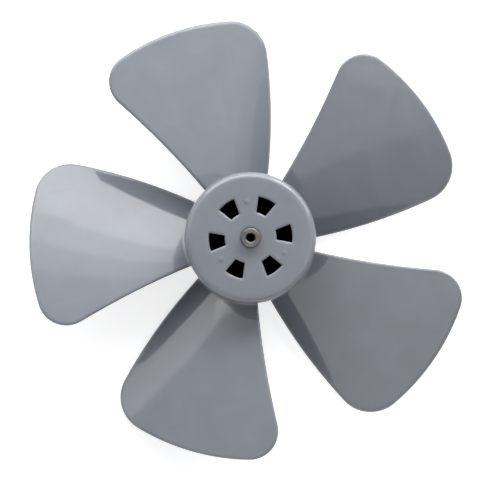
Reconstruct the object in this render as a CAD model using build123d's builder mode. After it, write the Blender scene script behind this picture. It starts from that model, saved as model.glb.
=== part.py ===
"""Five-blade axial fan blade: one moulding with a cup hub, and a turned shaft bush pressed into it.

Millimetres. Z is the spin axis, with the hub's closed face towards +Z.
The origin lies on that axis in the plane of the hub's front face.
"""

import os
from math import cos, radians, sin, sqrt, tan

from build123d import *

os.makedirs("parts", exist_ok=True)

# Whole fan
FAN_D = 250.0
BLADE_COUNT = 5
BLADE_START_ANGLE = 31.4

# Hub cup
HUB_D = 74.0
HUB_DEPTH = 44.0
HUB_RIM_R = 4.0
HUB_WALL = 2.2
HUB_FACE_T = 2.6
HUB_DRAFT = 0.8
HUB_INNER_C = 1.5

# Vent windows in the hub face
WINDOW_COUNT = 6
WINDOW_START_ANGLE = 6.2
WINDOW_INNER_R = 14.6
WINDOW_OUTER_R = 23.5
WINDOW_INNER_W = 5.5
WINDOW_OUTER_W = 10.4
WINDOW_EDGE_C = 0.4

# Gate marks on the hub face, between the windows
GATE_COUNT = 3
GATE_PITCH_R = 20.6
GATE_D = 2.2
GATE_H = 0.35

# Shaft bush
BUSH_D = 10.5
BUSH_BORE = 5.0
BUSH_NOSE = 5.0
BUSH_TAIL = 0.5
BUSH_CHAMFER = 0.6
BORE_CHAMFER = 0.7

# Boss and ribs inside the hub
BOSS_WALL = 3.2
BOSS_DEPTH = 22.0
RIB_T = 1.8
RIB_BOSS_DEPTH = 17.0
RIB_WALL_DEPTH = 9.0

# Blade outline, seen along the spin axis with the blade's own axis on +X
LEAD_HUB_Y = 20.8
LEAD_TIP_Y = 81.0
LEAD_BOW = 3.5
TRAIL_HUB_Y = 20.3
TRAIL_TIP_Y = 36.2
TRAIL_BOW = 3.5
LEAD_CORNER_R = 16.3
TRAIL_CORNER_R = 20.2

# Blade section
PITCH_HUB = 25.8
PITCH_TIP = 17.8
CAMBER = 7.0
BLADE_HUB_T = 3.0
BLADE_TIP_T = 2.0
BLADE_EDGE_C = 0.8
REAR_GAP = 0.6
SECTION_COUNT = 4
SECTION_SPARE = 4.0
ROOT_RUN = 12.0
TIP_RUN = 3.0

hub_r = HUB_D / 2
tip_r = FAN_D / 2
hub_rear_r = hub_r - (HUB_DEPTH - HUB_RIM_R) * tan(radians(HUB_DRAFT))
boss_r = BUSH_D / 2 + BOSS_WALL
root_r = hub_rear_r - HUB_WALL / 2
trail_z = REAR_GAP - HUB_DEPTH + BLADE_HUB_T / cos(radians(PITCH_HUB + CAMBER))
root_x = hub_r - ROOT_RUN
end_x = tip_r + TIP_RUN


def along_span(x, at_hub, at_tip):
    """Value at x of a size that runs evenly from the hub radius to the tip radius."""
    return at_hub + (at_tip - at_hub) * (x - hub_r) / (tip_r - hub_r)


def edge_y(x, at_hub, at_tip, bow):
    """Distance of a bowed blade edge from the blade's axis at x."""
    share = (x - hub_r) / (tip_r - hub_r)
    return along_span(x, at_hub, at_tip) + 4 * bow * share * (1 - share)


def lead_y(x):
    return edge_y(x, LEAD_HUB_Y, LEAD_TIP_Y, -LEAD_BOW)


def trail_y(x):
    return -edge_y(x, TRAIL_HUB_Y, TRAIL_TIP_Y, TRAIL_BOW)


def edge_curve(y_at):
    """The three control points of a bowed edge from the root to past the tip."""
    middle = (root_x + end_x) / 2
    pull = 2 * y_at(middle) - (y_at(root_x) + y_at(end_x)) / 2
    return (root_x, y_at(root_x)), (middle, pull), (end_x, y_at(end_x))


def section_arcs(x):
    """Three points each on the front and back arcs of the blade section at x."""
    pitch = radians(along_span(x, PITCH_HUB, PITCH_TIP))
    camber = radians(CAMBER)
    thickness = along_span(x, BLADE_HUB_T, BLADE_TIP_T)
    chord_y = lead_y(x) - trail_y(x)
    rise = chord_y * tan(pitch)
    bulge = sqrt(chord_y**2 + rise**2) / 2 * tan(camber / 2)
    tail = (trail_y(x) - SECTION_SPARE, trail_z - SECTION_SPARE * tan(pitch + camber))
    crown = (trail_y(x) + chord_y / 2 - bulge * sin(pitch), trail_z + rise / 2 + bulge * cos(pitch))
    nose = (lead_y(x) + SECTION_SPARE, trail_z + rise + SECTION_SPARE * tan(pitch - camber))
    front = [tail, crown, nose]
    back = [(y + thickness * sin(pitch), z - thickness * cos(pitch)) for y, z in front]
    return front, back


# One blade: cambered sections lofted from root to tip, then trimmed to the outline
with BuildPart() as blade:
    for number in range(SECTION_COUNT):
        station = root_x + (end_x - root_x) * number / (SECTION_COUNT - 1)
        front_arc, back_arc = section_arcs(station)
        with BuildSketch(Plane((station, 0, 0), x_dir=(0, 1, 0), z_dir=(1, 0, 0))):
            with BuildLine():
                ThreePointArc(*front_arc)
                Line(front_arc[2], back_arc[2])
                ThreePointArc(*reversed(back_arc))
                Line(back_arc[0], front_arc[0])
            make_face()
    loft()
    with BuildSketch(Plane.XY.offset(-2 * HUB_DEPTH)) as outline:
        with BuildLine():
            lead = edge_curve(lead_y)
            trail = edge_curve(trail_y)
            Bezier(*trail)
            Line(trail[2], lead[2])
            Bezier(*reversed(lead))
            Line(lead[0], trail[0])
        make_face()
        Circle(tip_r, mode=Mode.INTERSECT)
        Circle(root_r, mode=Mode.SUBTRACT)
        fillet(outline.vertices().sort_by(Axis.Y)[-1], LEAD_CORNER_R)
        fillet(outline.vertices().sort_by(Axis.Y)[0], TRAIL_CORNER_R)
    extrude(amount=4 * HUB_DEPTH, mode=Mode.INTERSECT)
    for side in range(2):
        skin = blade.faces().sort_by(SortBy.AREA)[-2:].sort_by(Axis.Z)[side]
        chamfer([e for e in skin.edges() if (e @ 0.5).X > hub_r], BLADE_EDGE_C)

# One vent window of the hub face, straight-sided between two arcs about the spin axis
with BuildSketch() as window:
    inner_x = sqrt(WINDOW_INNER_R**2 - (WINDOW_INNER_W / 2) ** 2)
    outer_x = sqrt(WINDOW_OUTER_R**2 - (WINDOW_OUTER_W / 2) ** 2)
    with BuildLine():
        Line((inner_x, -WINDOW_INNER_W / 2), (outer_x, -WINDOW_OUTER_W / 2))
        ThreePointArc((outer_x, -WINDOW_OUTER_W / 2), (WINDOW_OUTER_R, 0), (outer_x, WINDOW_OUTER_W / 2))
        Line((outer_x, WINDOW_OUTER_W / 2), (inner_x, WINDOW_INNER_W / 2))
        ThreePointArc((inner_x, WINDOW_INNER_W / 2), (WINDOW_INNER_R, 0), (inner_x, -WINDOW_INNER_W / 2))
    make_face()

# One stiffening rib from the boss to the cup wall, deeper at the boss
with BuildPart() as rib:
    with BuildSketch(Plane.XZ):
        with BuildLine():
            Polyline(
                (boss_r - BOSS_WALL / 2, -HUB_FACE_T / 2),
                (root_r, -HUB_FACE_T / 2),
                (root_r, -RIB_WALL_DEPTH),
                (boss_r - BOSS_WALL / 2, -RIB_BOSS_DEPTH),
                close=True,
            )
        make_face()
    extrude(amount=RIB_T / 2, both=True)

# Moulding: hub cup with boss and ribs, then blades, windows and gate marks
with BuildPart() as impeller:
    with BuildSketch(Plane.XZ):
        with BuildLine():
            Line((0, 0), (hub_r - HUB_RIM_R, 0))
            RadiusArc((hub_r - HUB_RIM_R, 0), (hub_r, -HUB_RIM_R), HUB_RIM_R)
            Line((hub_r, -HUB_RIM_R), (hub_rear_r, -HUB_DEPTH))
            Line((hub_rear_r, -HUB_DEPTH), (0, -HUB_DEPTH))
            Line((0, -HUB_DEPTH), (0, 0))
        make_face()
    revolve(axis=Axis.Z)
    with BuildSketch(Plane.XZ) as cavity:
        with BuildLine():
            Polyline(
                (0, -HUB_DEPTH),
                (hub_rear_r - HUB_WALL, -HUB_DEPTH),
                (hub_r - HUB_WALL, -HUB_FACE_T),
                (boss_r, -HUB_FACE_T),
                (boss_r, -BOSS_DEPTH),
                (0, -BOSS_DEPTH),
                close=True,
            )
        make_face()
        chamfer(cavity.vertices().sort_by(Axis.Y)[-2:], HUB_INNER_C)
    revolve(axis=Axis.Z, mode=Mode.SUBTRACT)
    with PolarLocations(0, WINDOW_COUNT, start_angle=WINDOW_START_ANGLE + 180 / WINDOW_COUNT):
        add(rib.part)
    with PolarLocations(0, BLADE_COUNT, start_angle=BLADE_START_ANGLE):
        add(blade.part)
    with BuildSketch(Plane.XY) as windows:
        with PolarLocations(0, WINDOW_COUNT, start_angle=WINDOW_START_ANGLE):
            add(window.sketch)
    extrude(amount=-HUB_FACE_T, mode=Mode.SUBTRACT)
    hub_face = impeller.faces().filter_by(Axis.Z).sort_by(Axis.Z)[-1]
    chamfer(hub_face.inner_wires().edges(), WINDOW_EDGE_C)
    with BuildSketch(Plane.XY):
        Circle(BUSH_D / 2)
    extrude(amount=-BOSS_DEPTH, mode=Mode.SUBTRACT)
    with BuildSketch(Plane.XY):
        with PolarLocations(GATE_PITCH_R, GATE_COUNT, start_angle=WINDOW_START_ANGLE + 540 / WINDOW_COUNT):
            Circle(GATE_D / 2)
    extrude(amount=GATE_H)

# Turned bush pressed through the boss, with a lead-in at both ends of its bore
with BuildPart() as bush:
    with BuildSketch(Plane.XY.offset(BUSH_NOSE)):
        Circle(BUSH_D / 2)
        Circle(BUSH_BORE / 2, mode=Mode.SUBTRACT)
    extrude(amount=-(BUSH_NOSE + BOSS_DEPTH + BUSH_TAIL))
    chamfer(bush.edges().filter_by(GeomType.CIRCLE).filter_by(lambda e: e.radius < BUSH_D / 2), BORE_CHAMFER)
    chamfer(bush.edges().filter_by(GeomType.CIRCLE).group_by(SortBy.RADIUS)[-1].sort_by(Axis.Z)[-1], BUSH_CHAMFER)

impeller.part.label = "impeller"
export_step(impeller.part, "parts/impeller.step")
bush.part.label = "shaft_bush"
export_step(bush.part, "parts/shaft_bush.step")
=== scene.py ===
import math

import bpy
from mathutils import Matrix, Vector


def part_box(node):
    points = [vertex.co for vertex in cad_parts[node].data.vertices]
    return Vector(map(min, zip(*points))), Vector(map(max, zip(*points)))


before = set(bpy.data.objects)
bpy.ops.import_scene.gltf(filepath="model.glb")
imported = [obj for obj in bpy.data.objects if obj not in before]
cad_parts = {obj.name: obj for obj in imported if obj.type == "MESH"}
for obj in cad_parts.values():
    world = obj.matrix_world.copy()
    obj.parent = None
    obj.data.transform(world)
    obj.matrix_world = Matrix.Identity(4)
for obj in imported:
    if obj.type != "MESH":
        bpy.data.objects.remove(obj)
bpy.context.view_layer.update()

# Everything is in metres, in the frame of the solids: spin axis on Z, hub face at Z = 0.
MM = 0.001
HUB_RADIUS = 37 * MM
# Radius of the painted shade disc laid on the floor under the hub.
HUB_SHADE_RADIUS = HUB_RADIUS * 0.97
FLOOR_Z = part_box("impeller")[0].z
FLOOR_HALF = 4.0

# White is 1. Paper and room look white to the eye and in reflections, and light the part less than that.
PAPER_GLOW = 0.62
ROOM_LIGHT = 0.15
ROOM_WHITE = 1.0
LAMP_DISTANCE = 1.5
WINDOW_SIDE = 92
WINDOW_WIDTH = 2.4
WINDOW_RADIANCE = 5.0


def linear(hex_colour):
    """An sRGB hex colour as linear red, green, blue and alpha."""
    channels = [int(hex_colour[i:i + 2], 16) / 255 for i in (1, 3, 5)]
    return [c / 12.92 if c <= 0.04045 else ((c + 0.055) / 1.055) ** 2.4 for c in channels] + [1.0]


def add_node(tree, kind, values=None, links=None, **settings):
    """Add one node: its settings, its socket values, and its links from other nodes' outputs."""
    node = tree.nodes.new(kind)
    for name, value in settings.items():
        setattr(node, name, value)
    for socket, value in (values or {}).items():
        node.inputs[socket].default_value = value
    for socket, source in (links or {}).items():
        tree.links.new(source, node.inputs[socket])
    return node


def new_material(name):
    material = bpy.data.materials.new(name)
    material.use_nodes = True
    material.node_tree.nodes.clear()
    return material, material.node_tree


def per_metre(millimetres):
    """Noise scale whose features are about this many millimetres across."""
    return 1 / (millimetres * MM)


def moulded_abs():
    """Injection-moulded grey ABS from a polished mould.

    The eye sees an even cool grey, a clear soft mirror of the room, faint cloudy
    flow marks in the colour, a slight waviness in the gloss, and soft moulded
    edges that catch the light.
    """
    material, tree = new_material("moulded_abs")
    place = add_node(tree, "ShaderNodeTexCoord").outputs["Object"]
    flow = add_node(
        tree, "ShaderNodeTexNoise",
        {"Scale": per_metre(22), "Detail": 4.0, "Roughness": 0.55, "Distortion": 0.6}, {"Vector": place},
    )
    tint = add_node(tree, "ShaderNodeValToRGB", links={"Fac": flow.outputs["Fac"]})
    tint.color_ramp.elements[0].position = 0.3
    tint.color_ramp.elements[0].color = linear("#6F747B")
    tint.color_ramp.elements[1].position = 0.7
    tint.color_ramp.elements[1].color = linear("#757A82")
    handling = add_node(
        tree, "ShaderNodeTexNoise",
        {"Scale": per_metre(9), "Detail": 5.0, "Roughness": 0.6}, {"Vector": place},
    )
    gloss = add_node(
        tree, "ShaderNodeMapRange",
        {"From Min": 0.3, "From Max": 0.7, "To Min": 0.06, "To Max": 0.1}, {"Value": handling.outputs["Fac"]},
    )
    peel = add_node(
        tree, "ShaderNodeTexNoise", {"Scale": per_metre(3.0), "Detail": 2.0}, {"Vector": place},
    )
    edge = add_node(tree, "ShaderNodeBevel", {"Radius": 2.6 * MM}, samples=8)
    wave = add_node(
        tree, "ShaderNodeBump", {"Strength": 0.05, "Distance": 0.3 * MM},
        {"Height": peel.outputs["Fac"], "Normal": edge.outputs["Normal"]},
    )
    plastic = add_node(
        tree, "ShaderNodeBsdfPrincipled", {"IOR": 1.54},
        {
            "Base Color": tint.outputs["Color"],
            "Roughness": gloss.outputs["Result"],
            "Normal": wave.outputs["Normal"],
        },
    )
    add_node(tree, "ShaderNodeOutputMaterial", links={"Surface": plastic.outputs["BSDF"]})
    return material


def turned_steel():
    """Free-cutting steel, turned on a lathe and thinly plated.

    The eye sees a dull warm grey metal with fine rings left by the tool.
    The rings are drawn 0.5 mm apart, coarser than real ones, so that they show.
    """
    material, tree = new_material("turned_steel")
    place = add_node(tree, "ShaderNodeTexCoord").outputs["Object"]
    rings = add_node(
        tree, "ShaderNodeTexWave",
        {"Scale": per_metre(0.5) / 20, "Distortion": 0.6, "Detail": 2.0, "Detail Scale": 2.0},
        {"Vector": place},
        wave_type="RINGS", rings_direction="Z",
    )
    score = add_node(
        tree, "ShaderNodeBump", {"Strength": 0.15, "Distance": 0.05 * MM}, {"Height": rings.outputs["Fac"]},
    )
    stain = add_node(
        tree, "ShaderNodeTexNoise", {"Scale": per_metre(2.5), "Detail": 4.0}, {"Vector": place},
    )
    tint = add_node(tree, "ShaderNodeValToRGB", links={"Fac": stain.outputs["Fac"]})
    tint.color_ramp.elements[0].position = 0.35
    tint.color_ramp.elements[0].color = linear("#5E5D5C")
    tint.color_ramp.elements[1].position = 0.65
    tint.color_ramp.elements[1].color = linear("#706F6C")
    gloss = add_node(
        tree, "ShaderNodeMapRange", {"To Min": 0.25, "To Max": 0.42}, {"Value": stain.outputs["Fac"]},
    )
    metal = add_node(
        tree, "ShaderNodeBsdfPrincipled", {"Metallic": 1.0},
        {
            "Base Color": tint.outputs["Color"],
            "Roughness": gloss.outputs["Result"],
            "Normal": score.outputs["Normal"],
        },
    )
    add_node(tree, "ShaderNodeOutputMaterial", links={"Surface": metal.outputs["BSDF"]})
    return material


def paper_floor():
    """Matt white paper sweep, clear from below.

    It reads white to the eye and in reflections and keeps a soft shadow. Inside the hub's footprint
    it carries painted shade: its colour there is near black and its white glow is off, where little light
    gets in.
    """
    material, tree = new_material("paper_floor")
    place = add_node(tree, "ShaderNodeNewGeometry").outputs["Position"]
    flat = add_node(tree, "ShaderNodeVectorMath", {1: (1.0, 1.0, 0.0)}, {0: place}, operation="MULTIPLY")
    reach = add_node(tree, "ShaderNodeVectorMath", links={0: flat.outputs["Vector"]}, operation="LENGTH")
    # Painted shade: this mask is 0 on the floor inside the hub's footprint and 1 outside it.
    outside_painted_shade = add_node(
        tree, "ShaderNodeMath", {1: HUB_SHADE_RADIUS}, {0: reach.outputs["Value"]}, operation="GREATER_THAN",
    )
    ray = add_node(tree, "ShaderNodeLightPath").outputs
    seen = add_node(
        tree, "ShaderNodeMath",
        links={0: ray["Is Camera Ray"], 1: ray["Is Glossy Ray"]}, operation="MAXIMUM",
    )
    seen = add_node(
        tree, "ShaderNodeMath",
        links={0: seen.outputs["Value"], 1: ray["Is Transmission Ray"]}, operation="MAXIMUM",
    )
    # Painted shade: the white glow is switched off inside the hub's footprint.
    glow_with_painted_shade = add_node(
        tree, "ShaderNodeMath",
        links={0: seen.outputs["Value"], 1: outside_painted_shade.outputs["Value"]}, operation="MULTIPLY",
    )
    glow_with_painted_shade = add_node(tree, "ShaderNodeMath", {1: PAPER_GLOW}, {0: glow_with_painted_shade.outputs["Value"]}, operation="MULTIPLY")
    # Painted shade: the floor's colour is near black inside the hub's footprint and pale paper outside it.
    paper_tone_and_painted_shade = add_node(
        tree, "ShaderNodeMix", {"A": linear("#0A0A0C"), "B": linear("#E2E2E4")},
        {"Factor": outside_painted_shade.outputs["Value"]}, data_type="RGBA",
    )
    paper = add_node(tree, "ShaderNodeBsdfDiffuse", links={"Color": paper_tone_and_painted_shade.outputs["Result"]})
    glow = add_node(tree, "ShaderNodeEmission", links={"Strength": glow_with_painted_shade.outputs["Value"]})
    both = add_node(
        tree, "ShaderNodeAddShader", links={0: paper.outputs["BSDF"], 1: glow.outputs["Emission"]},
    )
    below = add_node(tree, "ShaderNodeNewGeometry").outputs["Backfacing"]
    clear = add_node(tree, "ShaderNodeBsdfTransparent")
    sheet = add_node(
        tree, "ShaderNodeMixShader", links={0: below, 1: both.outputs["Shader"], 2: clear.outputs["BSDF"]},
    )
    add_node(tree, "ShaderNodeOutputMaterial", links={"Surface": sheet.outputs["Shader"]})
    return material


def dress(node, material):
    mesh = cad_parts[node].data
    mesh.materials.clear()
    mesh.materials.append(material)


dress("impeller", moulded_abs())
dress("shaft_bush", turned_steel())


def lay_floor():
    mesh = bpy.data.meshes.new("floor")
    signs = ((-1, -1), (1, -1), (1, 1), (-1, 1))
    mesh.from_pydata([(x * FLOOR_HALF, y * FLOOR_HALF, FLOOR_Z) for x, y in signs], [], [(0, 1, 2, 3)])
    mesh.materials.append(paper_floor())
    floor = bpy.data.objects.new("floor", mesh)
    bpy.context.scene.collection.objects.link(floor)


lay_floor()


def towards(azimuth, zenith):
    """Unit vector at this azimuth from +X and this angle down from straight up."""
    a, z = math.radians(azimuth), math.radians(zenith)
    return Vector((math.sin(z) * math.cos(a), math.sin(z) * math.sin(a), math.cos(z)))


def soft_box(name, azimuth, zenith, width, height, radiance):
    """Rectangular studio light that faces the hub.

    Azimuth and zenith are in degrees, width and height in metres; radiance 1 reflects as white.
    """
    lamp = bpy.data.lights.new(name, "AREA")
    lamp.shape = "RECTANGLE"
    lamp.size, lamp.size_y = width, height
    lamp.energy = radiance * math.pi * width * height
    holder = bpy.data.objects.new(name, lamp)
    direction = towards(azimuth, zenith)
    holder.location = direction * LAMP_DISTANCE
    holder.rotation_euler = (-direction).to_track_quat("-Z", "Y").to_euler()
    bpy.context.scene.collection.objects.link(holder)


# A large window past the top of the picture, soft at its upper edge, a smaller one at its right,
# and white cards around.
soft_box("high_window", WINDOW_SIDE, 67, WINDOW_WIDTH, 1.15, WINDOW_RADIANCE)
for zenith, share in ((43.5, 0.6), (38.5, 0.3), (33.5, 0.08)):
    soft_box("window_fade_%d" % zenith, WINDOW_SIDE, zenith, WINDOW_WIDTH, 0.131, WINDOW_RADIANCE * share)
soft_box("right_window", 45, 70, 1.2, 0.9, 4.0)
soft_box("right_card", 4, 38, 1.1, 0.9, 0.6)
soft_box("left_card", 160, 62, 0.9, 0.7, 1.6)
soft_box("front_left_card", 230, 41, 1.1, 1.0, 0.7)
soft_box("front_right_card", 305, 28, 1.1, 0.75, 0.6)
soft_box("low_card", 268, 79, 2.2, 0.5, 1.6)

world = bpy.data.worlds.new("studio")
bpy.context.scene.world = world
world.use_nodes = True
world.node_tree.nodes.clear()
sky = world.node_tree
ray = add_node(sky, "ShaderNodeLightPath").outputs
seen = add_node(
    sky, "ShaderNodeMath", links={0: ray["Is Camera Ray"], 1: ray["Is Glossy Ray"]}, operation="MAXIMUM",
)
level = add_node(
    sky, "ShaderNodeMapRange", {"To Min": ROOM_LIGHT, "To Max": ROOM_WHITE}, {"Value": seen.outputs["Value"]},
)
air = add_node(sky, "ShaderNodeBackground", {"Color": (1, 1, 1, 1)}, {"Strength": level.outputs["Result"]})
add_node(sky, "ShaderNodeOutputWorld", links={"Surface": air.outputs["Background"]})

# Camera: almost straight down on the hub face, a little low and left of the spin axis.
# The hub's place is in pixels from the picture's top left corner; the lean is in degrees.
IMAGE_PX = 480
MM_PER_PX = 0.5613
HUB_PX = (250.60, 237.60)
CAMERA_DISTANCE = 2.0
CAMERA_LEAN = 1.8
CAMERA_SIDE = 230.0

camera = bpy.data.cameras.new("camera")
camera.sensor_fit = "HORIZONTAL"
camera.sensor_width = 36.0
camera.lens = camera.sensor_width * CAMERA_DISTANCE / (IMAGE_PX * MM_PER_PX * MM)
camera.shift_x = (IMAGE_PX / 2 - HUB_PX[0]) / IMAGE_PX
camera.shift_y = (HUB_PX[1] - IMAGE_PX / 2) / IMAGE_PX
camera.clip_end = 20.0
viewer = bpy.data.objects.new("camera", camera)
back = towards(CAMERA_SIDE, CAMERA_LEAN)
right = Vector((0, 1, 0)).cross(back).normalized()
up = back.cross(right)
turn = Matrix((right, up, back)).transposed().to_4x4()
viewer.matrix_world = Matrix.Translation(back * CAMERA_DISTANCE) @ turn
bpy.context.scene.collection.objects.link(viewer)
bpy.context.scene.camera = viewer
bpy.context.scene.view_settings.view_transform = "Standard"
